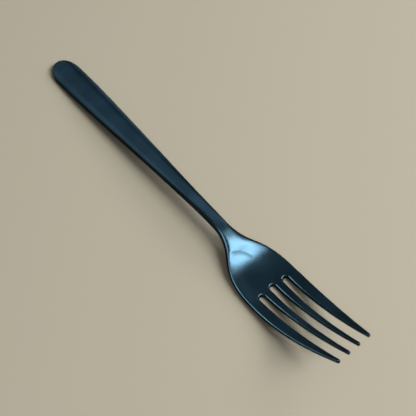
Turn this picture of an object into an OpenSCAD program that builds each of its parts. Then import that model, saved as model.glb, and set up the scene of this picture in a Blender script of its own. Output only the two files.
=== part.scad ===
// Dinner fork, stamped and forged from one blank of steel and coated satin black.
// Millimetres. +X runs from the handle to the tines, +Y across the fork, +Z up.
// The fork lies as on a table: the flat under the handle's end and the belly of the head touch Z = 0.
// The body is one loft: rows run across the fork, and past the slot roots each tine is a lane of its own.

/* [Overall] */
// Length from the end of the handle to the tips of the tines
fork_length = 199; // [185:0.5:215]
// Length of the head, from the narrowest point of the neck to the tips
head_length = 79; // [75:1:86]

/* [Handle] */
// Width of the handle where it is widest, just before the rounded end
handle_width = 13.3; // [11:0.1:16]
// Length of the rounded end, half an ellipse
handle_end_length = 9.5; // [8:0.5:14]
// Width of the handle halfway between the rounded end and the neck
handle_mid_width = 9.4; // [8.5:0.1:11]
// Angle of each edge of the handle there, to the length of the fork
handle_mid_angle = 2.5; // [1.8:0.1:3.2]
// Width of the neck where it is narrowest
neck_width = 5.6; // [4.6:0.1:6.6]

/* [Head outline] */
// Width of the head where it is widest
head_width = 26; // [23:0.2:29]
// Distance from the widest point of the head back from the tips
head_widest_from_tips = 42; // [38:1:46]
// Width of the shoulders where they flare fastest
shoulder_width = 14.5; // [12.5:0.5:16.5]
// Distance from the neck to that place
shoulder_from_neck = 13; // [11:0.5:15]
// Angle of each shoulder there, to the length of the fork
shoulder_angle = 35; // [27:1:38]
// Angle at which the outer edges close in at the tips
edge_angle = 10; // [6:1:13]

/* [Tines] */
// Number of tines
tine_count = 4; // [3:1:5]
// Distance between the middles of neighbouring tips
tip_pitch = 5.35; // [4.8:0.05:5.6]
// Width of a tip
tip_width = 1.35; // [1.2:0.05:1.7]
// Corner radius of a tip, seen from above
tip_radius = 0.5; // [0.45:0.01:0.55]
// Length of the slot nearest the middle, from its root to the tips
slot_length = 45.4; // [41:0.2:49]
// How much shorter a slot is for each pitch that it lies off the middle
slot_step = 0.8; // [0:0.1:1.6]
// Distance between the middles of neighbouring slot roots
slot_pitch = 6.6; // [6:0.05:7]
// Width of a slot at its round root
slot_width = 2.8; // [2.3:0.1:3.3]

/* [Side profile] */
// Height of the underside at its crest, close behind the neck
crest_height = 6.6; // [5:0.1:9]
// Distance from the crest to the neck
crest_from_neck = 3; // [0:0.5:5]
// Length of the bend between the rising handle and the crest
crest_bend = 10; // [8:1:24]
// Slope of the underside at the start of that bend
crest_angle = 3; // [1:0.5:4]
// Length of the flat under the handle's end, on which the fork rests
foot_length = 6; // [4:0.5:9]
// Length of the bend between that flat and the rising handle
foot_bend = 8; // [4:1:14]
// Slope of the underside past that bend
handle_angle = 5; // [3:0.5:7]
// Height of the underside halfway down into the bowl
fall_height = 3.6; // [2.6:0.1:4]
// Distance from the neck to that place
fall_from_neck = 13; // [10:0.5:16]
// Slope of the underside there
fall_angle = 22; // [16:0.5:26]
// Distance from the lowest point of the belly back from the tips
belly_from_tips = 48; // [45:0.5:51]
// Height of the underside at the tips
tip_height = 20.2; // [16:0.2:24]
// Slope of the tines at the tips
tip_angle = 38; // [34:1:44]

/* [Thickness] */
// Thickness at the end of the handle
end_thickness = 2.8; // [2.5:0.1:3.4]
// Thickness at the neck
neck_thickness = 3.9; // [3.4:0.1:4.6]
// Thickness of the bowl
bowl_thickness = 2.3; // [1.8:0.1:2.8]
// Thickness of the tines at the tips
tip_thickness = 1.4; // [1.2:0.1:1.7]
// Distance from the place where the bowl reaches its thickness back from the tips
bowl_from_tips = 57; // [52:1:62]
// How far the middle of the handle's top stands above its edges, by the rounded end
handle_crown = 1; // [0.4:0.05:1.2]
// The same at the neck
neck_crown = 0.45; // [0.2:0.05:0.8]
// The same at the shoulders, where the neck opens into the bowl
shoulder_crown = 0.9; // [0.6:0.1:1.4]
// Distance from the neck to the place where the shoulders are rounded most
crown_from_neck = 7.5; // [6:0.5:9]
// Distance from the neck to the place where that rounding has run out
crown_end_from_neck = 19.5; // [17:0.5:22]
// Depth of the bowl below its outer edges
dish_depth = 1; // [0.4:0.1:1.6]
// Depth of the curve across the tines at the tips
tip_dish = 0.3; // [0:0.1:0.6]

/* [Edges] */
// Rounding of the handle's upper edges, from its end to its middle
handle_edge = 0.3; // [0.2:0.05:0.5]
// Rounding of the upper edges at the neck
neck_edge = 0.8; // [0.5:0.05:1.1]
// Rounding of the upper edges of the bowl and the slot roots
head_edge = 0.8; // [0.4:0.05:0.9]
// Rounding of the edges at the tips, above and below
tip_edge = 0.4; // [0.25:0.01:0.42]
// Rounding of the lower edges of the handle, up to the neck
handle_under_edge = 0.8; // [0.4:0.05:1]
// Rounding of the lower edges of the bowl and the slot roots
head_under_edge = 0.3; // [0.2:0.05:0.5]

/* [Hidden] */

// Stations along the fork, measured from the end of the handle
neck_x = fork_length - head_length;
handle_mid_x = (handle_end_length + neck_x) / 2;
shoulder_x = neck_x + shoulder_from_neck;
widest_x = fork_length - head_widest_from_tips;
crest_x = neck_x - crest_from_neck;
fall_x = neck_x + fall_from_neck;
belly_x = fork_length - belly_from_tips;
bowl_x = fork_length - bowl_from_tips;
slot_radius = slot_width / 2;
slot_count = tine_count - 1;
outer_root_x = slot_root_x(0);
tip_half_span = tip_y(tine_count - 1) + tip_width / 2;

// Curves along the fork: each station is place, value, slope
width_stations = [
    [handle_end_length, handle_width / 2, 0],
    [handle_mid_x, handle_mid_width / 2, -tan(handle_mid_angle)],
    [neck_x, neck_width / 2, 0],
    [shoulder_x, shoulder_width / 2, tan(shoulder_angle)],
    [widest_x, head_width / 2, 0],
    [fork_length, tip_half_span, -tan(edge_angle)]
];
underside_stations = [
    [0, 0, 0],
    [foot_length, 0, 0],
    [foot_length + foot_bend, tan(handle_angle) * foot_bend / 2, tan(handle_angle)],
    [crest_x - crest_bend, crest_height - tan(crest_angle) * crest_bend / 2, tan(crest_angle)],
    [crest_x, crest_height, 0],
    [fall_x, fall_height, -tan(fall_angle)],
    [belly_x, 0, 0],
    [fork_length, tip_height, tan(tip_angle)]
];
thickness_stations = [
    [0, end_thickness, (neck_thickness - end_thickness) / neck_x],
    [neck_x, neck_thickness, 0],
    [bowl_x, bowl_thickness, 0],
    [fork_length, tip_thickness, (tip_thickness - bowl_thickness) / bowl_from_tips]
];
dish_stations = [
    [neck_x + crown_from_neck, 0, 0],
    [belly_x, dish_depth, 0],
    [fork_length, tip_dish, 0]
];
crown_stations = [
    [handle_end_length, handle_crown, 0],
    [neck_x, neck_crown, 0],
    [neck_x + crown_from_neck, shoulder_crown, 0],
    [neck_x + crown_end_from_neck, 0, 0]
];
edge_stations = [
    [handle_mid_x, handle_edge, 0],
    [neck_x, neck_edge, 0],
    [belly_x, head_edge, 0],
    [fork_length, tip_edge, 0]
];
under_edge_stations = [
    [neck_x, handle_under_edge, 0],
    [belly_x, head_under_edge, 0],
    [fork_length, tip_edge, 0]
];

// Rows of the loft: rounded end, handle, head behind the slots, slot roots, tines, tip corners
end_rows = 7;
handle_rows = 20;
head_rows = 22;
root_rows = 5;
tine_rows = 16;
corner_rows = 3;
neck_row = end_rows + handle_rows;
root_row = neck_row + head_rows + 1;
tine_row = root_row + root_rows;
corner_row = tine_row + tine_rows;
tip_row = corner_row + corner_rows;
// Angle at which the first row meets the outline of the rounded end
end_start = 20;
// Steps across each lane
lane_steps = 4;
across = tine_count * lane_steps;
// Room between the last whole row and the edges of the slot roots
root_room = 1.6;
// How far the rows at the slot roots bow back between the roots
root_bow = 0.7;

// Cubic between two stations, with the value and the slope of each
function blend(p, q, x) =
    let (span = q[0] - p[0], u = min(1, max(0, (x - p[0]) / span)))
    p[1] * (2 * u ^ 3 - 3 * u ^ 2 + 1) + q[1] * (3 * u ^ 2 - 2 * u ^ 3)
    + span * (p[2] * (u ^ 3 - 2 * u ^ 2 + u) + q[2] * (u ^ 3 - u ^ 2));
function blend_slope(p, q, x) =
    let (span = q[0] - p[0], u = min(1, max(0, (x - p[0]) / span)))
    (q[1] - p[1]) / span * 6 * (u - u ^ 2)
    + p[2] * (3 * u ^ 2 - 4 * u + 1) + q[2] * (3 * u ^ 2 - 2 * u);
function value(s, x, i = 0) =
    i + 2 >= len(s) || x <= s[i + 1][0] ? blend(s[i], s[i + 1], x) : value(s, x, i + 1);
function slope(s, x, i = 0) =
    i + 2 >= len(s) || x <= s[i + 1][0] ? blend_slope(s[i], s[i + 1], x) : slope(s, x, i + 1);
function half_width(x) = value(width_stations, x);
function thickness(x) = value(thickness_stations, x);
// A rounded edge takes up no more than its share of the wall it rounds
edge_share = 0.45;
function edge_radius(x, low) =
    let (wall = thickness(x) - value(crown_stations, x))
    min(value(low ? under_edge_stations : edge_stations, x), edge_share * wall);

// Places of the tines and slots; lane 0 and slot 0 lie on the -Y side
function tip_y(lane) = (lane - (tine_count - 1) / 2) * tip_pitch;
function slot_y(slot) = (slot - (slot_count - 1) / 2) * slot_pitch;
function slot_root_x(slot) = fork_length - slot_length + slot_step * abs(slot - (slot_count - 1) / 2);

// Points on the outline are [x, y, normal x, normal y], and side is -1 or 1 for -Y or +Y
function end_point(angle) =
    let (w = handle_width / 2, n = [-cos(angle) / handle_end_length, sin(angle) / w])
    [handle_end_length * (1 - cos(angle)), w * sin(angle), n[0] / norm(n), n[1] / norm(n)];
function edge_point(x, side) =
    let (n = [-slope(width_stations, x), 1])
    [x, side * half_width(x), n[0] / norm(n), side * n[1] / norm(n)];
function corner_point(u, y, rise, side) =
    let (turn = atan2(1, -side * rise) * (1 - u), x = fork_length - tip_radius)
    let (middle = side * y - side * rise * tip_radius - tip_radius * norm([1, rise]))
    [x + tip_radius * cos(turn), side * (middle + tip_radius * sin(turn)), cos(turn), side * sin(turn)];

// Outer edge of the fork at a row
function outer_edge(row, side) =
    row <= end_rows ? end_point(side * (end_start + (90 - end_start) * row / end_rows)) :
    row < root_row ? edge_point(row_x(row), side) :
    row <= tine_row ?
        edge_point(outer_root_x + slot_radius * (1 - cos(90 * (row - root_row) / root_rows)), side) :
    row < corner_row ?
        let (start = outer_root_x + slot_radius, u = (row - tine_row) / tine_rows)
        edge_point(start + (fork_length - tip_radius - start) * u, side) :
    corner_point((row - corner_row) / corner_rows, side * tip_half_span, -side * tan(edge_angle), side);
function row_x(row) =
    row <= neck_row ?
        handle_end_length + (neck_x - handle_end_length) * (row - end_rows) / handle_rows :
        let (last = fork_length - slot_length - head_edge - root_room)
        neck_x + (last - neck_x) * (row - neck_row) / head_rows;

// One wall of a slot: a quarter circle at the root, then a straight run to the tip's corner
function slot_wall(slot, side, row) =
    let (middle = [slot_root_x(slot) + slot_radius, slot_y(slot)], lane = side > 0 ? slot + 1 : slot)
    let (tip = [fork_length, tip_y(lane) - side * tip_width / 2])
    let (start = middle + [0, side * slot_radius], run = tip - start, rise = run[1] / run[0])
    let (turn = 90 * (row - root_row) / root_rows, corner = corner_point(0, tip[1], rise, -side))
    row <= tine_row ?
        concat(middle + slot_radius * [-cos(turn), side * sin(turn)], [cos(turn), -side * sin(turn)]) :
    row < corner_row ?
        let (u = (row - tine_row) / tine_rows, n = side * [run[1], -run[0]] / norm(run))
        concat(start * (1 - u) + [corner[0], corner[1]] * u, n) :
    corner_point((row - corner_row) / corner_rows, tip[1], rise, -side);

// The two edges of a lane at a row from the slot roots on
function lane_left(lane, row) = lane == 0 ? outer_edge(row, -1) : slot_wall(lane - 1, 1, row);
function lane_right(lane, row) =
    lane == tine_count - 1 ? outer_edge(row, 1) : slot_wall(lane, -1, row);

// A point drawn in from the outline, and a point on a line between two such points
function inset(p, depth) = [p[0] - depth * p[2], p[1] - depth * p[3]];
function between(a, b, u) = a * (1 - u) + b * u;
function rim(p, low) = inset(p, edge_radius(p[0], low));

// Share of the half width at which the lanes meet behind the slots
function lane_share(lane) =
    lane == 0 ? -1 : lane == tine_count ? 1 : slot_y(lane - 1) / half_width(outer_root_x);
function column_share(column) =
    let (lane = floor(column / lane_steps), step = column / lane_steps - lane)
    lane == tine_count ? 1 : between(lane_share(lane), lane_share(lane + 1), step);

// Plan position of a grid point inside the upper or lower edges
function grid_plan(lane, row, step, low) =
    row < root_row ?
        let (share = column_share(lane * lane_steps + step))
        between(rim(outer_edge(row, -1), low), rim(outer_edge(row, 1), low), (1 + share) / 2) :
        let (u = step / lane_steps, bow = root_bow * max(0, tine_row - row) / root_rows * 4 * u * (1 - u))
        between(rim(lane_left(lane, row), low), rim(lane_right(lane, row), low), u) - [bow, 0];

// From plan to space: height h is measured square to the underside
crown_power = 3;
function share_across(p) = min(1, abs(p[1]) / half_width(p[0]));
function top_height(p) =
    thickness(p[0]) - value(crown_stations, p[0]) * share_across(p) ^ crown_power;
function lift(p, h) =
    let (tilt = atan(slope(underside_stations, p[0])))
    let (bottom = value(underside_stations, p[0]) + value(dish_stations, p[0]) * share_across(p) ^ 2)
    [p[0] - fork_length / 2 - h * sin(tilt), p[1], bottom + h * cos(tilt)];

// The outline as one loop, anticlockwise from above, starting at the end of the handle on the -Y side
root_to_tip = tip_row - root_row;
function left_rows(lane) = lane == 0 ? tip_row + 1 : root_to_tip;
function right_rows(lane) = lane == tine_count - 1 ? tip_row + 1 : root_to_tip + 1;
outline = [
    for (lane = [0:tine_count - 1]) each [
        for (i = [0:left_rows(lane) - 1]) lane_left(lane, tip_row - left_rows(lane) + 1 + i),
        for (step = [1:lane_steps - 1])
            let (a = lane_left(lane, tip_row), b = lane_right(lane, tip_row))
            [fork_length, between(a[1], b[1], step / lane_steps), 1, 0],
        for (i = [0:right_rows(lane) - 1]) lane_right(lane, tip_row - i)
    ],
    for (column = [across - 1:-1:1]) end_point(end_start * (2 * column / across - 1))
];
loop = len(outline);

// Numbers of the outline's points
function lane_start(lane) =
    lane == 0 ? 0 : lane_start(lane - 1) + left_rows(lane - 1) + lane_steps - 1 + right_rows(lane - 1);
function left_index(lane, row) = lane_start(lane) + left_rows(lane) - 1 - (tip_row - row);
function tip_index(lane, step) = lane_start(lane) + left_rows(lane) + step - 1;
function right_index(lane, row) = lane_start(lane) + left_rows(lane) + lane_steps - 1 + tip_row - row;

// Rings of the rounded edge, from the underside up: share of the radius drawn in, and of the height
edge_step = 30;
edge_rings = [for (a = [0:edge_step:90]) [1 - sin(a), 1 - cos(a)]];
ring_count = 2 * len(edge_rings);
function ring_point(p, ring) =
    let (low = ring < len(edge_rings), share = edge_rings[low ? ring : ring_count - 1 - ring])
    let (radius = edge_radius(p[0], low), q = inset(p, radius * share[0]))
    lift(q, low ? radius * share[1] : top_height(q) - radius * share[1]);

// Grid points inside the edges of the underside or the top
function inner(low) = [
    for (row = [1:root_row - 1]) for (column = [1:across - 1])
        let (lane = floor(column / lane_steps))
        grid_plan(lane, row, column - lane * lane_steps, low),
    for (row = [root_row:tip_row - 1]) for (lane = [0:tine_count - 1]) for (step = [1:lane_steps - 1])
        grid_plan(lane, row, step, low)
];
function inner_index(lane, row, step) =
    row < root_row ? (row - 1) * (across - 1) + lane * lane_steps + step - 1 :
    (root_row - 1) * (across - 1)
    + ((row - root_row) * tine_count + lane) * (lane_steps - 1) + step - 1;

// Number of a grid point: on the outline's ring, or inside it
function grid_index(lane, row, step, ring, first) =
    let (last_lane = tine_count - 1, column = lane * lane_steps + step)
    row == 0 && column > 0 && column < across ?
        ring + right_index(last_lane, 0) + across - column :
    row == tip_row && step > 0 && step < lane_steps ? ring + tip_index(lane, step) :
    step == 0 && lane == 0 ? ring + left_index(0, row) :
    step == 0 && row > root_row ? ring + left_index(lane, row) :
    step == 0 && row == root_row ? ring + right_index(lane - 1, row) :
    step == lane_steps && (row >= root_row || lane == last_lane) ? ring + right_index(lane, row) :
    first + inner_index(lane, row, step);

points = concat(
    [for (ring = [0:ring_count - 1]) for (p = outline) ring_point(p, ring)],
    [for (p = inner(true)) lift(p, 0)],
    [for (p = inner(false)) lift(p, top_height(p))]
);
function two_triangles(a, b, c, d) = [[a, b, c], [a, c, d]];
function grid_faces(ring, first, up) = [
    for (lane = [0:tine_count - 1]) for (row = [0:tip_row - 1]) for (step = [0:lane_steps - 1])
        let (a = grid_index(lane, row, step, ring, first))
        let (b = grid_index(lane, row + 1, step, ring, first))
        let (c = grid_index(lane, row + 1, step + 1, ring, first))
        let (d = grid_index(lane, row, step + 1, ring, first))
        each up ? two_triangles(a, d, c, b) : two_triangles(a, b, c, d)
];
edge_faces = [
    for (ring = [0:ring_count - 2]) for (i = [0:loop - 1])
        let (low = ring * loop, high = low + loop, next = (i + 1) % loop)
        each two_triangles(low + i, high + i, high + next, low + next)
];
faces = concat(
    grid_faces(0, ring_count * loop, false),
    grid_faces((ring_count - 1) * loop, ring_count * loop + len(inner(true)), true),
    edge_faces
);

module fork() {
    color("#22282d")
        polyhedron(points = points, faces = faces, convexity = 8);
}

fork();
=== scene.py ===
# %% [markdown]
# A dinner fork in satin black.
# The fork is one piece of stainless steel, stamped, forged and coated black all over.
# The imported model comes first. It is the frame that every size and place below is measured in.

# %% Load the imported fork
import math

import bmesh
import bpy
from mathutils import Matrix, Quaternion, Vector


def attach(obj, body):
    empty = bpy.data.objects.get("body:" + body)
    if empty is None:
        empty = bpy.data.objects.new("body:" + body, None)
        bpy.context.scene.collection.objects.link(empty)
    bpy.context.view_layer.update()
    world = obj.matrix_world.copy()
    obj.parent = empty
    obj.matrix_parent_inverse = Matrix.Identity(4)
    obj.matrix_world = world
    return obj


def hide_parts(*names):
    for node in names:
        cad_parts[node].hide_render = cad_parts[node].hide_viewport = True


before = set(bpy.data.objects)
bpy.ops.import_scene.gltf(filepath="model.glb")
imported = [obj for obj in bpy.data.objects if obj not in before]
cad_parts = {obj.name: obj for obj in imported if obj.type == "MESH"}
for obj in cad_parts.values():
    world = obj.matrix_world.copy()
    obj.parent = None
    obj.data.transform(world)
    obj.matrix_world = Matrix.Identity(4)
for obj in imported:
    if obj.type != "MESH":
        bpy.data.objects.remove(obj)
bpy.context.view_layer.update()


def rounded(box):
    return [[round(v, 4) for v in corner] for corner in box]


# %% [markdown]
# The camera looks down on the fork from the side of the tines, about 61 degrees above the table.
# A lens is easier to trust when it is given as a focal length in pixels of the picture, because
# that is how it is measured, so the millimetres that Blender wants are worked out from it.
# All lengths in this lesson are in millimetres, and MM turns them into Blender's metres.

# %% Camera
MM = 0.001
IMAGE_SIDE = 416
FOCAL_PIXELS = 850
SENSOR_WIDTH = 36
NEAREST_SEEN = 10
VIEW_TARGET = (7.97, 4.56, 0)
VIEW_DISTANCE = 375.6
view_azimuth = math.radians(48.89)
view_elevation = math.radians(60.95)
view_roll = math.radians(0.93)

toward_camera = Vector((
    math.cos(view_elevation) * math.sin(view_azimuth),
    -math.cos(view_elevation) * math.cos(view_azimuth),
    math.sin(view_elevation),
))
camera_lens = bpy.data.cameras.new("view_camera")
camera_lens.sensor_width = SENSOR_WIDTH
camera_lens.lens = SENSOR_WIDTH * FOCAL_PIXELS / IMAGE_SIDE
camera_lens.clip_start = NEAREST_SEEN * MM
camera = bpy.data.objects.new("view_camera", camera_lens)
camera.location = Vector(VIEW_TARGET) * MM + toward_camera * VIEW_DISTANCE * MM
camera.rotation_mode = "QUATERNION"
level_view = toward_camera.to_track_quat("Z", "Y")
camera.rotation_quaternion = level_view @ Quaternion((0, 0, 1), view_roll)
bpy.context.scene.collection.objects.link(camera)
bpy.context.scene.camera = camera
print("camera at", rounded([camera.location]), "lens", round(camera_lens.lens, 2), "mm")

# %% [markdown]
# A fork is a strip of steel whose width, height and thickness change smoothly along its length.
# It could be boxed out and subdivided, but then no one size could be set by itself. Here each
# of these runs along a short list of stations, and a cubic joins them, so a size is a number.
# A station is a place along the fork, the value there, and how steeply the value changes.
# Places are counted from the handle's end.

# %% Smooth curves through stations
FORK_LENGTH = 199
HEAD_LENGTH = 79
END_LENGTH = 9.5
neck_x = FORK_LENGTH - HEAD_LENGTH
handle_mid_x = (END_LENGTH + neck_x) / 2


def rise(degrees):
    return math.tan(math.radians(degrees))


# The cubic between two stations has the value and the slope of both.
def blend(start, end, x):
    span = end[0] - start[0]
    u = min(1, max(0, (x - start[0]) / span))
    value = start[1] * (2 * u**3 - 3 * u**2 + 1) + end[1] * (3 * u**2 - 2 * u**3)
    value += span * (start[2] * (u**3 - 2 * u**2 + u) + end[2] * (u**3 - u**2))
    slope = (end[1] - start[1]) / span * 6 * (u - u**2)
    slope += start[2] * (3 * u**2 - 4 * u + 1) + end[2] * (3 * u**2 - 2 * u)
    return value, slope


def along(stations, x):
    for start, end in zip(stations, stations[1:]):
        if x <= end[0]:
            break
    return blend(start, end, x)


print("fork", FORK_LENGTH, "mm long, neck", neck_x, "mm from the handle's end")

# %% [markdown]
# From above, the handle narrows slowly to the neck, flares into two shoulders, is widest at the
# bowl, and closes a little towards the tips. A Bezier curve could be drawn round it by hand, but
# numbers can be checked against a real fork. Half the width is enough, because both sides match.

# %% Width from above
END_HALF_WIDTH = 6.65
HANDLE_HALF_WIDTH = 4.7
NECK_HALF_WIDTH = 2.8
SHOULDER_HALF_WIDTH = 7.25
HEAD_HALF_WIDTH = 13
TIP_HALF_SPAN = 8.7
HANDLE_CLOSING = rise(2.5)
SHOULDER_FLARE = rise(35)
EDGE_CLOSING = rise(10)
shoulder_x = neck_x + 13
widest_x = FORK_LENGTH - 42

half_width = [
    (END_LENGTH, END_HALF_WIDTH, 0),
    (handle_mid_x, HANDLE_HALF_WIDTH, -HANDLE_CLOSING),
    (neck_x, NECK_HALF_WIDTH, 0),
    (shoulder_x, SHOULDER_HALF_WIDTH, SHOULDER_FLARE),
    (widest_x, HEAD_HALF_WIDTH, 0),
    (FORK_LENGTH, TIP_HALF_SPAN, -EDGE_CLOSING),
]
neck_width = 2 * along(half_width, neck_x)[0]
print("widest", 2 * along(half_width, widest_x)[0], "mm, neck", neck_width, "mm")

# %% [markdown]
# From the side, the handle stands on a short flat foot, climbs to a crest just behind the neck
# and falls into the bowl. The belly of the bowl touches the table, and the tines curve up from
# there. The underside is drawn rather than the top, because it is the side that has to touch.

# %% Underside from the side
FOOT_LENGTH = 6
FOOT_BEND = 8
CREST_BEND = 10
CREST_HEIGHT = 6.6
SHOULDER_HEIGHT = 3.6
TIP_HEIGHT = 20.2
FOOT_CLIMB = rise(5)
CREST_CLIMB = rise(3)
BOWL_FALL = rise(22)
TIP_CLIMB = rise(38)
crest_x = neck_x - 3
belly_x = FORK_LENGTH - 48

underside = [
    (0, 0, 0),
    (FOOT_LENGTH, 0, 0),
    (FOOT_LENGTH + FOOT_BEND, FOOT_BEND / 2 * FOOT_CLIMB, FOOT_CLIMB),
    (crest_x - CREST_BEND, CREST_HEIGHT - CREST_BEND / 2 * CREST_CLIMB, CREST_CLIMB),
    (crest_x, CREST_HEIGHT, 0),
    (shoulder_x, SHOULDER_HEIGHT, -BOWL_FALL),
    (belly_x, 0, 0),
    (FORK_LENGTH, TIP_HEIGHT, TIP_CLIMB),
]
print("crest", along(underside, crest_x)[0], "mm, tips", along(underside, FORK_LENGTH)[0], "mm up")

# %% [markdown]
# The blank is thickest at the neck, where a fork bends in use, and thins out to the tips. A solidify
# modifier would give one thickness all over, so the thickness is a curve along the fork as well.

# %% Thickness
END_THICKNESS = 2.8
NECK_THICKNESS = 3.9
BOWL_THICKNESS = 2.3
TIP_THICKNESS = 1.4
THIN_LENGTH = 57
handle_swell = (NECK_THICKNESS - END_THICKNESS) / neck_x
tine_thinning = (BOWL_THICKNESS - TIP_THICKNESS) / THIN_LENGTH
thickness = [
    (0, END_THICKNESS, handle_swell),
    (neck_x, NECK_THICKNESS, 0),
    (FORK_LENGTH - THIN_LENGTH, BOWL_THICKNESS, 0),
    (FORK_LENGTH, TIP_THICKNESS, -tine_thinning),
]
print("thickness in the bowl", round(along(thickness, belly_x)[0], 2), "mm")

# %% [markdown]
# The top of the handle is crowned, which means that it falls off towards its edges. The bowl is
# dished, which means that its edges stand up. Neither is more than a millimetre, but on a polished
# metal they decide what is mirrored where, so both have a curve of their own.

# %% Crown and dish
END_CROWN = 1.0
NECK_CROWN = 0.45
SHOULDER_CROWN = 0.9
DISH_DEPTH = 1
TIP_DISH = 0.3
hollow_x = neck_x + 7.5
crown_end_x = neck_x + 19.5
crown = [
    (END_LENGTH, END_CROWN, 0),
    (neck_x, NECK_CROWN, 0),
    (hollow_x, SHOULDER_CROWN, 0),
    (crown_end_x, 0, 0),
]
dish = [(hollow_x, 0, 0), (belly_x, DISH_DEPTH, 0), (FORK_LENGTH, TIP_DISH, 0)]
print("crown", END_CROWN, "mm at the handle's end, dish", DISH_DEPTH, "mm at the belly")

# %% [markdown]
# A stamped blank has sharp edges, and tumbling rounds them. The handle keeps a small radius, and the
# head has a larger one above than below, as a press leaves one side of a blank rounder.

# %% Edge radii
HANDLE_EDGE = 0.3
HEAD_EDGE = 0.8
TIP_EDGE = 0.4
NECK_LOWER_EDGE = 0.8
BOWL_LOWER_EDGE = 0.3
upper_edge = [
    (handle_mid_x, HANDLE_EDGE, 0),
    (neck_x, HEAD_EDGE, 0),
    (belly_x, HEAD_EDGE, 0),
    (FORK_LENGTH, TIP_EDGE, 0),
]
lower_edge = [
    (neck_x, NECK_LOWER_EDGE, 0),
    (belly_x, BOWL_LOWER_EDGE, 0),
    (FORK_LENGTH, TIP_EDGE, 0),
]
print("upper edge", HANDLE_EDGE, "mm on the handle,", HEAD_EDGE, "mm on the head")

# %% [markdown]
# Seen from above, the outline is a half ellipse round the handle's end, two long edges, and three
# slots with round roots that leave four tines. The middle slot is cut a little deeper than the
# others. The tips lie closer together than the slots, so the tines taper and lean inwards.

# %% Tines and slots
LANES = 4
SLOTS = LANES - 1
SLOT_LENGTH = 45.4
SLOT_STEP = 0.8
SLOT_PITCH = 6.6
SLOT_RADIUS = 1.4
TIP_PITCH = 5.35
TIP_WIDTH = 1.35
TIP_RADIUS = 0.5


def from_middle(number, count):
    return number - (count - 1) / 2


def tip_y(lane):
    return from_middle(lane, LANES) * TIP_PITCH


def slot_y(slot):
    return from_middle(slot, SLOTS) * SLOT_PITCH


def slot_root_x(slot):
    return FORK_LENGTH - SLOT_LENGTH + SLOT_STEP * abs(from_middle(slot, SLOTS))


print(SLOTS, "slots", 2 * SLOT_RADIUS, "mm wide at the root,", LANES, "tips", TIP_WIDTH, "mm wide")

# %% [markdown]
# Three functions give the points of the outline: round the handle's end, along a long edge, and
# round the corner of a tip. A curve object could hold the outline and be filled, but here each
# point also carries the direction that looks straight out of the steel, which is needed later to
# round the edge over.

# %% Points of the outline


def outline_point(x, y, out_x, out_y):
    size = math.hypot(out_x, out_y)
    return (x, y, out_x / size, out_y / size)


def end_point(angle):
    x = END_LENGTH * (1 - math.cos(angle))
    y = END_HALF_WIDTH * math.sin(angle)
    return outline_point(x, y, -math.cos(angle) / END_LENGTH, math.sin(angle) / END_HALF_WIDTH)


def edge_point(x, side):
    half, slope = along(half_width, x)
    return outline_point(x, side * half, -slope, side)


# A tip's corner turns from the slope of its side, at u = 0, to straight ahead, at u = 1.
def corner_point(u, y, slope, side):
    turn = math.atan2(1, -side * slope) * (1 - u)
    middle = side * y - side * slope * TIP_RADIUS - TIP_RADIUS * math.hypot(1, slope)
    corner_x = FORK_LENGTH - TIP_RADIUS + TIP_RADIUS * math.cos(turn)
    corner_y = side * (middle + TIP_RADIUS * math.sin(turn))
    return outline_point(corner_x, corner_y, math.cos(turn), side * math.sin(turn))


print("handle's end starts at", end_point(0)[:2], "and is widest at", edge_point(END_LENGTH, 1)[:2])

# %% [markdown]
# The rows of the mesh run across the fork. Up to the slot roots a row is unbroken, and past them
# it falls into four lanes, one for each tine. Rows sit closer together where the steel bends.
# A cutter could be used for the slots instead, but it leaves long thin faces at the roots, and
# these show as dents in a polished metal.

# %% Rows of the mesh
END_ROWS = 16
HANDLE_ROWS = 80
HEAD_ROWS = 70
ROOT_ROWS = 10
TINE_ROWS = 56
CORNER_ROWS = 5
LANE_STEPS = 8
ROOT_ROOM = 1.6
FIRST_ANGLE = math.radians(14)
neck_row = END_ROWS + HANDLE_ROWS
root_row = neck_row + HEAD_ROWS + 1
tine_row = root_row + ROOT_ROWS
corner_row = tine_row + TINE_ROWS
tip_row = corner_row + CORNER_ROWS
across = LANES * LANE_STEPS
outer_root_x = slot_root_x(0)


def row_x(row):
    if row <= neck_row:
        return END_LENGTH + (neck_x - END_LENGTH) * (row - END_ROWS) / HANDLE_ROWS
    last = FORK_LENGTH - SLOT_LENGTH - HEAD_EDGE - ROOT_ROOM
    return neck_x + (last - neck_x) * (row - neck_row) / HEAD_ROWS


def root_turn(row):
    return math.pi / 2 * (row - root_row) / ROOT_ROWS


print(tip_row + 1, "rows,", across, "steps across")

# %% [markdown]
# Each lane has a left and a right edge. The outer two are the edge of the fork, and the others
# are the walls of the slots. A wall starts as a quarter circle at the root, runs straight to the
# tip, because a slot is punched with straight sides, and turns a small round corner there.

# %% Edges of the lanes


def outer_edge(row, side):
    if row <= END_ROWS:
        return end_point(side * (FIRST_ANGLE + (math.pi / 2 - FIRST_ANGLE) * row / END_ROWS))
    if row < root_row:
        return edge_point(row_x(row), side)
    if row <= tine_row:
        return edge_point(outer_root_x + SLOT_RADIUS * (1 - math.cos(root_turn(row))), side)
    if row < corner_row:
        start = outer_root_x + SLOT_RADIUS
        length = FORK_LENGTH - TIP_RADIUS - start
        return edge_point(start + length * (row - tine_row) / TINE_ROWS, side)
    u = (row - corner_row) / CORNER_ROWS
    return corner_point(u, side * TIP_HALF_SPAN, -side * EDGE_CLOSING, side)


def between(a, b, u):
    return a[0] + (b[0] - a[0]) * u, a[1] + (b[1] - a[1]) * u


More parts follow.
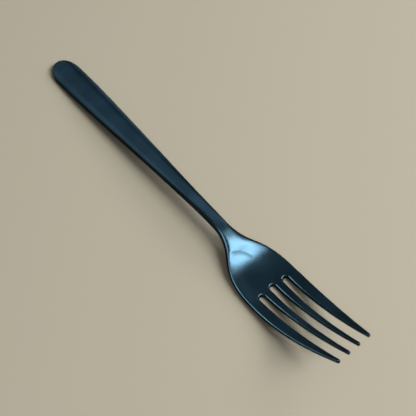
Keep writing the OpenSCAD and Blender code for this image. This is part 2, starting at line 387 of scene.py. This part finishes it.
def slot_wall(slot, side, row):
    lane = slot + 1 if side > 0 else slot
    root_x = slot_root_x(slot) + SLOT_RADIUS
    if row <= tine_row:
        turn = root_turn(row)
        x = root_x - SLOT_RADIUS * math.cos(turn)
        y = slot_y(slot) + side * SLOT_RADIUS * math.sin(turn)
        return outline_point(x, y, math.cos(turn), -side * math.sin(turn))
    wall_y = slot_y(slot) + side * SLOT_RADIUS
    end_y = tip_y(lane) - side * TIP_WIDTH / 2
    run_x = FORK_LENGTH - root_x
    run_y = end_y - wall_y
    if row < corner_row:
        corner = corner_point(0, end_y, run_y / run_x, -side)
        x, y = between((root_x, wall_y), corner, (row - tine_row) / TINE_ROWS)
        return outline_point(x, y, side * run_y, -side * run_x)
    return corner_point((row - corner_row) / CORNER_ROWS, end_y, run_y / run_x, -side)


def lane_left(lane, row):
    return outer_edge(row, -1) if lane == 0 else slot_wall(lane - 1, 1, row)


def lane_right(lane, row):
    return outer_edge(row, 1) if lane == LANES - 1 else slot_wall(lane, -1, row)


tine_width = lane_right(0, tine_row)[1] - lane_left(0, tine_row)[1]
print("outer tine", round(tine_width, 2), "mm wide at its root")

# %% [markdown]
# A point on the plan is lifted into space square to the underside, so that the steel keeps its
# thickness where it bends. The dish lifts the edges of the bowl with a soft curve. The crown falls
# with a steeper one, close to the edge, and turns a narrow stripe of the handle towards the light.

# %% From plan to space
CROWN_POWER = 3
DISH_POWER = 2


def share_across(x, y):
    return min(1, abs(y) / along(half_width, x)[0])


def top_height(x, y):
    fall = along(crown, x)[0] * share_across(x, y) ** CROWN_POWER
    return along(thickness, x)[0] - fall


def lift(x, y, height):
    level, slope = along(underside, x)
    tilt = math.atan(slope)
    bottom = level + along(dish, x)[0] * share_across(x, y) ** DISH_POWER
    lifted_x = x - FORK_LENGTH / 2 - height * math.sin(tilt)
    lifted_z = bottom + height * math.cos(tilt)
    return Vector((lifted_x, y, lifted_z)) * MM


print("top of the neck at", rounded([lift(neck_x, 0, top_height(neck_x, 0))]))

# %% [markdown]
# The flat of the fork ends where the rounding of its edge begins, so a row is drawn from rim to
# rim, one radius inside the outline. Close to the slots the rows bow a little, so that they
# meet the round roots without pinching.

# %% Points inside the rim
ROOT_BOW = 0.7


def edge_radius(point, top):
    return along(upper_edge if top else lower_edge, point[0])[0]


def inset(point, depth):
    return point[0] - depth * point[2], point[1] - depth * point[3]


def rim(point, top):
    return inset(point, edge_radius(point, top))


def lane_share(lane):
    if lane in (0, LANES):
        return -1 if lane == 0 else 1
    return slot_y(lane - 1) / along(half_width, outer_root_x)[0]


def grid_plan(lane, row, step, top):
    u = step / LANE_STEPS
    if row < root_row:
        share = lane_share(lane) + (lane_share(lane + 1) - lane_share(lane)) * u
        near_rim = rim(outer_edge(row, -1), top)
        far_rim = rim(outer_edge(row, 1), top)
        return between(near_rim, far_rim, (1 + share) / 2)
    x, y = between(rim(lane_left(lane, row), top), rim(lane_right(lane, row), top), u)
    bow = ROOT_BOW * max(0, tine_row - row) / ROOT_ROWS * 4 * u * (1 - u)
    return x - bow, y


print("lanes divide at", [round(lane_share(lane), 3) for lane in range(LANES + 1)], "of the width")

# %% [markdown]
# The outline is walked once round as a loop: down the near edge to the first tip, in and out of
# each slot, back along the far edge and round the end. Every point keeps a key, its lane, row and
# step, so that the flat faces can find it again. Two lanes share the points between them up to
# the roots of the slots.

# %% Loop round the outline
loop = []


def shared_key(lane, row, step):
    if step == LANE_STEPS and row <= root_row and lane < LANES - 1:
        return lane + 1, row, 0
    return lane, row, step


for lane in range(LANES):
    first_row = 0 if lane == 0 else root_row + 1
    last_row = 0 if lane == LANES - 1 else root_row
    for row in range(first_row, tip_row + 1):
        loop.append((shared_key(lane, row, 0), lane_left(lane, row)))
    left_y = lane_left(lane, tip_row)[1]
    right_y = lane_right(lane, tip_row)[1]
    for step in range(1, LANE_STEPS):
        tip = (FORK_LENGTH, left_y + (right_y - left_y) * step / LANE_STEPS, 1, 0)
        loop.append(((lane, tip_row, step), tip))
    for row in range(tip_row, last_row - 1, -1):
        loop.append((shared_key(lane, row, LANE_STEPS), lane_right(lane, row)))
for column in range(across - 1, 0, -1):
    lane, step = divmod(column, LANE_STEPS)
    loop.append(((lane, 0, step), end_point(FIRST_ANGLE * (2 * column / across - 1))))
print(len(loop), "points round the outline")

# %% [markdown]
# Rings of points roll the edge over from the top to the underside. A bevel modifier would do
# much the same, but its radius is hard to vary along the fork, and here it goes from tight on the
# handle to soft in the slots. The real edge has no sharp line at all.

# %% Rings over the edge
EDGE_RINGS = 5
vertices = []
rings = []


def ring_points(drawn_in, fallen, top):
    points = []
    for key, point in loop:
        radius = edge_radius(point, top)
        x, y = inset(point, radius * drawn_in)
        height = top_height(x, y) - radius * fallen if top else radius * fallen
        points.append(lift(x, y, height))
    return points


turns = [math.pi / 2 * k / EDGE_RINGS for k in range(EDGE_RINGS + 1)]
for top in (True, False):
    for turn in turns if top else reversed(turns):
        rings.append(ring_points(1 - math.sin(turn), 1 - math.cos(turn), top))
for ring in rings:
    vertices.extend(ring)
print(len(rings), "rings with", len(vertices), "points")

# %% [markdown]
# Faces fill the top and the underside between the rims, row by row, and then join each ring to the
# next. Blender could fill the outline by itself, but with long thin triangles. The underside is
# listed backwards, so that its faces look out of the steel as well.

# %% Faces
first_bottom = (len(rings) - 1) * len(loop)
faces = []


def grid_numbers(top):
    start = 0 if top else first_bottom
    numbers = {key: start + number for number, (key, point) in enumerate(loop)}
    for row in range(1, tip_row):
        for lane in range(LANES):
            for step in range(LANE_STEPS + 1):
                key = shared_key(lane, row, step)
                if key not in numbers:
                    numbers[key] = len(vertices)
                    x, y = grid_plan(lane, row, step, top)
                    vertices.append(lift(x, y, top_height(x, y) if top else 0))
    return numbers


for top in (True, False):
    numbers = grid_numbers(top)
    for row in range(tip_row):
        for lane in range(LANES):
            for step in range(LANE_STEPS):
                corners = [(row, step), (row + 1, step), (row + 1, step + 1), (row, step + 1)]
                face = [numbers[shared_key(lane, *corner)] for corner in corners]
                faces.append(face if top else face[::-1])
for ring in range(len(rings) - 1):
    upper = ring * len(loop)
    lower = upper + len(loop)
    for i in range(len(loop)):
        j = (i + 1) % len(loop)
        faces.append([upper + j, upper + i, lower + i, lower + j])
print(len(vertices), "points and", len(faces), "faces")

# %% [markdown]
# The mesh becomes one object. Its rows are close enough for smooth shading to do the rest, so no
# subdivision is needed. It stands for the imported fork, rides on the only body there is, and takes
# the finish of black coated steel.

# %% The fork
fork_mesh = bpy.data.meshes.new("fork_blank")
fork_mesh.from_pydata([tuple(v) for v in vertices], [], faces)
fork_mesh.validate()
fork_mesh.shade_smooth()
fork = bpy.data.objects.new("fork_blank", fork_mesh)
bpy.context.scene.collection.objects.link(fork)
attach(fork, "root")
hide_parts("fork")
print("fork made of", len(fork_mesh.polygons), "faces")

# %% [markdown]
# Stainless steel with a black hard coat, deposited from vapour over a satin polished surface.
# The coat is a few thousandths of a millimetre thick and follows the polish under it, so the eye
# gets a dark, slightly blue metal with soft reflections. It could be painted as a black gloss over
# a plain base, but then it would mirror without colour. A metal tints what it mirrors, so the
# shader is fully metallic, and the dark colour is its reflection. At a flat angle every metal
# turns paler, and a tint keeps that in check, because this coat stays dark at its edges.

# %% Coated steel
GRAZING_TINT = "#AEA6A2"


def linear(hex_colour):
    channels = [int(hex_colour[i:i + 2], 16) / 255 for i in (1, 3, 5)]
    return [c / 12.92 if c <= 0.04045 else ((c + 0.055) / 1.055) ** 2.4 for c in channels] + [1]


def add_node(tree, kind, inputs=(), **settings):
    node = tree.nodes.new(kind)
    for name, value in settings.items():
        setattr(node, name, value)
    for name, value in inputs:
        if isinstance(value, bpy.types.NodeSocket):
            tree.links.new(value, node.inputs[name])
        else:
            node.inputs[name].default_value = value
    return node


black_steel = bpy.data.materials.new("vapour_coated_satin_steel")
black_steel.use_nodes = True
steel_tree = black_steel.node_tree
steel_shader = steel_tree.nodes["Principled BSDF"]
steel_shader.inputs["Metallic"].default_value = 1
steel_shader.inputs["Specular Tint"].default_value = linear(GRAZING_TINT)
fork.data.materials.append(black_steel)
print("finish:", black_steel.name)

# %% [markdown]
# The satin polish leaves a fine grain, and the coat settles a little unevenly over it. The grain
# makes the gloss restless and gives it a slight relief. Slow clouds, about as wide as a finger,
# shift the colour and the gloss. A real grain is about a twentieth of a millimetre, and a pixel
# of the picture is almost half a millimetre, so the grain is drawn coarser, as fine as will show.
# A satin metal has a roughness of about 0.2 to 0.3.

# %% Grain and clouds in the coat
GRAIN_SIZE = 0.6
GRAIN_DETAIL = 2
GRAIN_HEIGHT = 0.008
CLOUD_SIZE = 9
CLOUD_DETAIL = 1
COAT_DARK = (0.35, "#2A363D")
COAT_LIGHT = (0.65, "#2F3B42")
MOTTLE_LOW = 0.6
MOTTLE_HIGH = 1.4
SMOOTHEST = 0.2
ROUGHEST = 0.28

steel_spot = add_node(steel_tree, "ShaderNodeTexCoord")
steel_place = steel_spot.outputs["Object"]
grain = add_node(steel_tree, "ShaderNodeTexNoise", [
    ("Vector", steel_place), ("Scale", 1 / (GRAIN_SIZE * MM)), ("Detail", GRAIN_DETAIL),
])
cloud = add_node(steel_tree, "ShaderNodeTexNoise", [
    ("Vector", steel_place), ("Scale", 1 / (CLOUD_SIZE * MM)), ("Detail", CLOUD_DETAIL),
])
coat_tint = add_node(steel_tree, "ShaderNodeValToRGB", [("Fac", cloud.outputs["Fac"])])
for stop, (position, colour) in zip(coat_tint.color_ramp.elements, (COAT_DARK, COAT_LIGHT)):
    stop.position = position
    stop.color = linear(colour)
steel_tree.links.new(coat_tint.outputs["Color"], steel_shader.inputs["Base Color"])
mottle = add_node(steel_tree, "ShaderNodeMath", [
    (0, grain.outputs["Fac"]), (1, cloud.outputs["Fac"]),
], operation="ADD")
satin = add_node(steel_tree, "ShaderNodeMapRange", [
    ("Value", mottle.outputs["Value"]), ("From Min", MOTTLE_LOW), ("From Max", MOTTLE_HIGH),
    ("To Min", SMOOTHEST), ("To Max", ROUGHEST),
])
grain_relief = add_node(steel_tree, "ShaderNodeBump", [
    ("Height", grain.outputs["Fac"]), ("Strength", 1), ("Distance", GRAIN_HEIGHT * MM),
])
steel_tree.links.new(grain_relief.outputs["Normal"], steel_shader.inputs["Normal"])
print("grain", GRAIN_SIZE, "mm, clouds", CLOUD_SIZE, "mm, roughness", SMOOTHEST, "to", ROUGHEST)

# %% [markdown]
# One thin arc in the steep back of the bowl is duller than the rest. It could be a crease in the
# mesh, but it has no depth to speak of, so it is a bit of extra roughness. A circle drawn flat over
# the bowl gives the line, sharp on its outer side and fading inwards.

# %% Line of the duller arc
ARC_MIDDLE = (42, -6.1, 0)
ARC_RADIUS = 9.2
ARC_EDGE = 0.5
ARC_FADE = 2.6
ARC_ROUGHNESS = 0.17

arc_arm = add_node(steel_tree, "ShaderNodeVectorMath", [
    (0, steel_place), (1, Vector(ARC_MIDDLE) * MM),
], operation="SUBTRACT")
arc_flat = add_node(steel_tree, "ShaderNodeVectorMath", [
    (0, arc_arm.outputs["Vector"]), (1, (1, 1, 0)),
], operation="MULTIPLY")
arc_reach = add_node(steel_tree, "ShaderNodeVectorMath", [
    (0, arc_flat.outputs["Vector"]),
], operation="LENGTH")
arc_line = add_node(steel_tree, "ShaderNodeMapRange", [
    ("Value", arc_reach.outputs["Value"]), ("From Min", ARC_RADIUS * MM),
    ("From Max", (ARC_RADIUS - ARC_EDGE) * MM), ("To Max", ARC_ROUGHNESS),
], interpolation_type="SMOOTHSTEP")
arc_fade = add_node(steel_tree, "ShaderNodeMapRange", [
    ("Value", arc_reach.outputs["Value"]), ("From Min", (ARC_RADIUS - ARC_FADE) * MM),
    ("From Max", (ARC_RADIUS - ARC_EDGE) * MM),
], interpolation_type="SMOOTHSTEP")
print("arc", ARC_RADIUS, "mm in radius")

# %% [markdown]
# The circle is limited to an arc. Seen from its middle, a direction gives the arc's two soft ends,
# and the way that the surface faces keeps it off the underside. What is left is added to the
# roughness of the satin.

# %% Ends of the duller arc
ARC_TURN = math.radians(134)
ARC_SPREAD = math.radians(38)
ARC_HOLD = 0.7

arc_way = add_node(steel_tree, "ShaderNodeVectorMath", [
    (0, arc_flat.outputs["Vector"]),
], operation="NORMALIZE")
arc_turn = add_node(steel_tree, "ShaderNodeVectorMath", [
    (0, arc_way.outputs["Vector"]), (1, (math.cos(ARC_TURN), math.sin(ARC_TURN), 0)),
], operation="DOT_PRODUCT")
arc_ends = add_node(steel_tree, "ShaderNodeMapRange", [
    ("Value", arc_turn.outputs["Value"]), ("From Min", math.cos(ARC_SPREAD)),
    ("From Max", math.cos(ARC_SPREAD * ARC_HOLD)),
], interpolation_type="SMOOTHSTEP")
facing_up = add_node(steel_tree, "ShaderNodeVectorMath", [
    (0, steel_spot.outputs["Normal"]), (1, (0, 0, 1)),
], operation="DOT_PRODUCT")
upper_side = add_node(steel_tree, "ShaderNodeMath", [
    (0, facing_up.outputs["Value"]), (1, 0),
], operation="GREATER_THAN")
arc = arc_line.outputs["Result"]
for limit in (arc_fade.outputs["Result"], arc_ends.outputs["Result"], upper_side.outputs["Value"]):
    limited = add_node(steel_tree, "ShaderNodeMath", [(0, arc), (1, limit)], operation="MULTIPLY")
    arc = limited.outputs["Value"]
dulled = add_node(steel_tree, "ShaderNodeMath", [
    (0, satin.outputs["Result"]), (1, arc),
], operation="ADD")
steel_tree.links.new(dulled.outputs["Value"], steel_shader.inputs["Roughness"])
print("finish has", len(steel_tree.nodes), "nodes")

# %% [markdown]
# The table is a plain matt board, painted pale. It only has to catch the shadow and show the edges
# of the fork. A matt paint scatters light and has no gloss to speak of, so its roughness is full
# and its reflection is off. It fades out well away from the fork, so that no edge of it shows
# in low views.

# %% Table
TABLE_SIDE = 6000
TABLE_COLOUR = "#BAB4A2"
FADE_START = 220
FADE_END = 800
half_side = TABLE_SIDE / 2 * MM
table_corners = [(x * half_side, y * half_side, 0) for x, y in ((-1, -1), (1, -1), (1, 1), (-1, 1))]
table_mesh = bpy.data.meshes.new("table")
table_mesh.from_pydata(table_corners, [], [(0, 1, 2, 3)])
table = bpy.data.objects.new("table", table_mesh)
bpy.context.scene.collection.objects.link(table)

table_paint = bpy.data.materials.new("matt_pale_board")
table_paint.use_nodes = True
table_tree = table_paint.node_tree
table_shader = table_tree.nodes["Principled BSDF"]
table_shader.inputs["Base Color"].default_value = linear(TABLE_COLOUR)
table_shader.inputs["Roughness"].default_value = 1
table_shader.inputs["Specular IOR Level"].default_value = 0
table_place = add_node(table_tree, "ShaderNodeTexCoord").outputs["Object"]
table_reach = add_node(table_tree, "ShaderNodeVectorMath", [(0, table_place)], operation="LENGTH")
table_fade = add_node(table_tree, "ShaderNodeMapRange", [
    ("Value", table_reach.outputs["Value"]), ("From Min", FADE_START * MM),
    ("From Max", FADE_END * MM),
], interpolation_type="SMOOTHSTEP")
table_clear = add_node(table_tree, "ShaderNodeBsdfTransparent")
table_mix = add_node(table_tree, "ShaderNodeMixShader", [
    ("Fac", table_fade.outputs["Result"]), (1, table_shader.outputs["BSDF"]),
    (2, table_clear.outputs["BSDF"]),
])
table_tree.links.new(table_mix.outputs["Shader"], table_tree.nodes["Material Output"].inputs["Surface"])
table.data.materials.append(table_paint)
print("table", TABLE_SIDE, "mm wide, fades from", FADE_START, "to", FADE_END, "mm")

# %% [markdown]
# Behind the faded table stands a large plain backdrop in the same colour. It glows evenly, so it
# needs no light, and it is seen by the camera alone: the steel doesn't mirror it, and it throws
# neither light nor shadow.

# %% Backdrop
BACKDROP_RADIUS = 5000
BACKDROP_COLOUR = "#B9B4A2"
backdrop_shape = bmesh.new()
bmesh.ops.create_icosphere(backdrop_shape, subdivisions=3, radius=BACKDROP_RADIUS * MM)
backdrop_mesh = bpy.data.meshes.new("backdrop")
backdrop_shape.to_mesh(backdrop_mesh)
backdrop_shape.free()
backdrop = bpy.data.objects.new("backdrop", backdrop_mesh)
bpy.context.scene.collection.objects.link(backdrop)

backdrop_paint = bpy.data.materials.new("plain_backdrop")
backdrop_paint.use_nodes = True
backdrop_tree = backdrop_paint.node_tree
backdrop_glow = add_node(backdrop_tree, "ShaderNodeEmission", [("Color", linear(BACKDROP_COLOUR))])
backdrop_end = backdrop_tree.nodes["Material Output"]
backdrop_tree.links.new(backdrop_glow.outputs["Emission"], backdrop_end.inputs["Surface"])
backdrop.data.materials.append(backdrop_paint)
backdrop.visible_diffuse = False
backdrop.visible_glossy = False
backdrop.visible_shadow = False
backdrop.visible_transmission = False
print("backdrop", 2 * BACKDROP_RADIUS, "mm across")

# %% [markdown]
# A dark polished thing is seen by what it mirrors, so its lights are placed by reflection. From a
# spot on the steel, the line of sight is followed as it bounces, and a panel goes where it lands.
# Point lamps would be less work, but they mirror as dots, and a window mirrors as a shape. A panel
# is given by the brightness of its face, so that it can be moved or cut smaller without
# changing how bright its mirror image is. Some panels are only mirrored in the steel, and the
# others only light the table, so that shine and shadow can be set apart.

# %% A panel of light


def add_panel(name, aim, direction, distance, long_axis, length, width, radiance, colour, for_table):
    light = bpy.data.lights.new(name, "AREA")
    light.shape = "RECTANGLE"
    light.size = length * MM
    light.size_y = width * MM
    light.energy = radiance * math.pi * light.size * light.size_y
    light.color = linear(colour)[:3]
    facing = Vector(direction).normalized()
    sideways = Vector(long_axis)
    sideways = (sideways - facing * sideways.dot(facing)).normalized()
    turned = Matrix((sideways, facing.cross(sideways), facing)).transposed()
    place = (Vector((*aim, 0)) + facing * distance) * MM
    panel = bpy.data.objects.new(name, light)
    panel.matrix_world = Matrix.Translation(place) @ turned.to_4x4()
    panel.visible_diffuse = for_table
    panel.visible_glossy = not for_table
    bpy.context.scene.collection.objects.link(panel)
    print(name, "at", rounded([place]), "power", round(light.energy, 4), "W")


OVERHEAD = (0, 0, 1)
LENGTHWISE = (1, 0, 0)
WINDOW_LIGHT = "#D8F3FF"
SKY_LIGHT = "#D5F8FF"
DEEP_SKY_LIGHT = "#BEE7FF"

# %% [markdown]
# One tall window makes the bright patch in the steep back of the bowl. Two small panels close
# above the neck carry that patch back to where the bowl begins, and they are so low that
# the tines look past them. A small panel beside the bowl draws the fine lines along the rounded
# near edges of the tines and round the roots of the slots, and a wide one softens the bowl.

# %% Panels mirrored in the head
add_panel(
    "window_panel", aim=(30, 0), direction=(0.475, 0.43, 0.77), distance=1200,
    long_axis=(0.16, 0.85, -0.5), length=1300, width=340,
    radiance=27, colour=WINDOW_LIGHT, for_table=False,
)
add_panel(
    "edge_panel", aim=(68, 0), direction=(-0.5, -0.6, 0.62), distance=85,
    long_axis=LENGTHWISE, length=18, width=50,
    radiance=14, colour=SKY_LIGHT, for_table=False,
)
add_panel(
    "bowl_panel", aim=(50, 0), direction=(-0.25, 0.64, 0.73), distance=500,
    long_axis=LENGTHWISE, length=140, width=160,
    radiance=1.45, colour=SKY_LIGHT, for_table=False,
)
add_panel(
    "neck_panel", aim=(11, 5), direction=OVERHEAD, distance=22,
    long_axis=LENGTHWISE, length=30, width=18,
    radiance=0.5, colour=SKY_LIGHT, for_table=False,
)
add_panel(
    "shoulder_panel", aim=(31, 5), direction=OVERHEAD, distance=22,
    long_axis=LENGTHWISE, length=10, width=18,
    radiance=3, colour=SKY_LIGHT, for_table=False,
)

# %% [markdown]
# The handle mirrors three dim panels that hang 70 mm above the table. The first gives the soft
# stripe along its near edge, the second its far half and the third its end. They hang low,
# because a high panel would be mirrored in the bowl and the tines as well.

# %% Panels mirrored in the handle
add_panel(
    "handle_panel", aim=(-92, -13), direction=OVERHEAD, distance=70,
    long_axis=LENGTHWISE, length=130, width=34,
    radiance=1.03, colour=SKY_LIGHT, for_table=False,
)
add_panel(
    "room_panel", aim=(-83, 27), direction=OVERHEAD, distance=70,
    long_axis=LENGTHWISE, length=166, width=40,
    radiance=0.72, colour=DEEP_SKY_LIGHT, for_table=False,
)
add_panel(
    "end_panel", aim=(-125, 72), direction=OVERHEAD, distance=70,
    long_axis=LENGTHWISE, length=100, width=50,
    radiance=0.35, colour=DEEP_SKY_LIGHT, for_table=False,
)

# %% [markdown]
# Seen from low down, the fork mirrors what stands a little above the horizon. Two wide panels there
# keep its sides and its back from turning into a plain dark shape.

# %% Low panels for the side views
add_panel(
    "low_far_panel", aim=(0, 0), direction=(-0.6, 0.73, 0.33), distance=1000,
    long_axis=(0.73, 0.6, 0), length=300, width=260,
    radiance=2.1, colour=SKY_LIGHT, for_table=False,
)
add_panel(
    "low_near_panel", aim=(0, 0), direction=(0.64, -0.68, 0.35), distance=1000,
    long_axis=(0.68, 0.64, 0), length=600, width=300,
    radiance=2.5, colour=SKY_LIGHT, for_table=False,
)

# %% [markdown]
# The shadow has lights of its own. A large panel on the side of the window casts it, so that it is
# soft, and falls on the near side. A second panel lightens it from the far side, and a dim warm
# ceiling fills it, because light that has bounced round a room is warm.

# %% Lights for the table
WHITE_LIGHT = "#FFFFFF"
WARM_LIGHT = "#FFEBC8"
add_panel(
    "key_panel", aim=(0, 0), direction=(0.54, 0.38, 0.75), distance=1600,
    long_axis=(0.2, 0.85, -0.5), length=850, width=550,
    radiance=14.5, colour=WHITE_LIGHT, for_table=True,
)
add_panel(
    "side_panel", aim=(0, 0), direction=(0.2, 0.8, 0.45), distance=1600,
    long_axis=LENGTHWISE, length=1200, width=600,
    radiance=4, colour=WHITE_LIGHT, for_table=True,
)
add_panel(
    "ceiling_panel", aim=(0, 0), direction=(0.1, 0.1, 1), distance=1500,
    long_axis=LENGTHWISE, length=2400, width=2400,
    radiance=0.26, colour=WARM_LIGHT, for_table=True,
)

# %% [markdown]
# The rest of the room is a sky. The steel mirrors one that changes with height, darkest a little
# above the horizon and lightest overhead, in steps of height and brightness. All other rays get a
# dim even fill, so that the shadow keeps its own colour. The standard view shows colours as
# they were chosen, with no film look laid over them.

# %% Sky
SKY_COLOUR = "#BFE8FF"
SKY_GAIN = 2.28
SKY_FILL = "#595C62"
SKY_STEPS = [
    (0, 0.16), (0.06, 0.12), (0.14, 0.05), (0.6, 0.06), (0.85, 0.18), (0.93, 0.18), (1, 0.22),
]

world = bpy.context.scene.world or bpy.data.worlds.new("studio")
bpy.context.scene.world = world
world.use_nodes = True
sky_tree = world.node_tree
sky_direction = add_node(sky_tree, "ShaderNodeTexCoord")
sky_height = add_node(sky_tree, "ShaderNodeSeparateXYZ", [("Vector", sky_direction.outputs["Generated"])])
sky_ramp = add_node(sky_tree, "ShaderNodeValToRGB", [("Fac", sky_height.outputs["Z"])])
stops = sky_ramp.color_ramp.elements
stops.remove(stops[1])
for height, level in SKY_STEPS:
    stop = stops[0] if height == 0 else stops.new(height)
    stop.position = height
    stop.color = [level * SKY_GAIN * channel for channel in linear(SKY_COLOUR)[:3]] + [1]
sky_mirrored = sky_tree.nodes["Background"]
sky_tree.links.new(sky_ramp.outputs["Color"], sky_mirrored.inputs["Color"])
sky_fill = add_node(sky_tree, "ShaderNodeBackground", [("Color", linear(SKY_FILL))])
sky_ray = add_node(sky_tree, "ShaderNodeLightPath")
sky_mix = add_node(sky_tree, "ShaderNodeMixShader", [
    ("Fac", sky_ray.outputs["Is Glossy Ray"]), (1, sky_fill.outputs["Background"]),
    (2, sky_mirrored.outputs["Background"]),
])
sky_tree.links.new(sky_mix.outputs["Shader"], sky_tree.nodes["World Output"].inputs["Surface"])
bpy.context.scene.view_settings.view_transform = "Standard"
print("sky with", len(stops), "steps")
